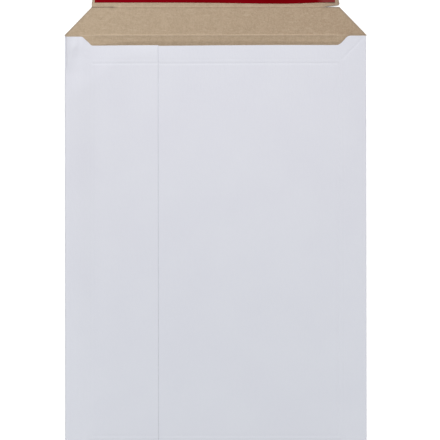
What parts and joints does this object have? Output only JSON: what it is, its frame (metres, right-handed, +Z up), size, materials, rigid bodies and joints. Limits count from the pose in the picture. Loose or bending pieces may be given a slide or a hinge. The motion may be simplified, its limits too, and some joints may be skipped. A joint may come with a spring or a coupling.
{
  "type": "cardboard envelope",
  "caption": "Solid-board envelope lying flat with its flap open: white outside, brown inside, lapped back seam, scored frame, and a red liner over the sealing strip.",
  "frame": {"origin": "middle of the envelope's length and width, with the open flap counted in the length, on the surface it lies on", "axes": "+Y along the length towards the flap, +X to the right seen on the seam side, +Z up out of the seam side"},
  "size_m": [0.2512, 0.4104, 0.0084],
  "materials": {
    "board": "matte",
    "glue": "satin",
    "adhesive": "satin",
    "liner": "satin"
  },
  "bodies": {
    "root": {"envelope_board": "board", "seam_glue": "glue", "bottom_glue_left": "glue", "bottom_glue_right": "glue", "adhesive_strip": "adhesive", "release_liner": "liner"}
  },
  "joints": []
}
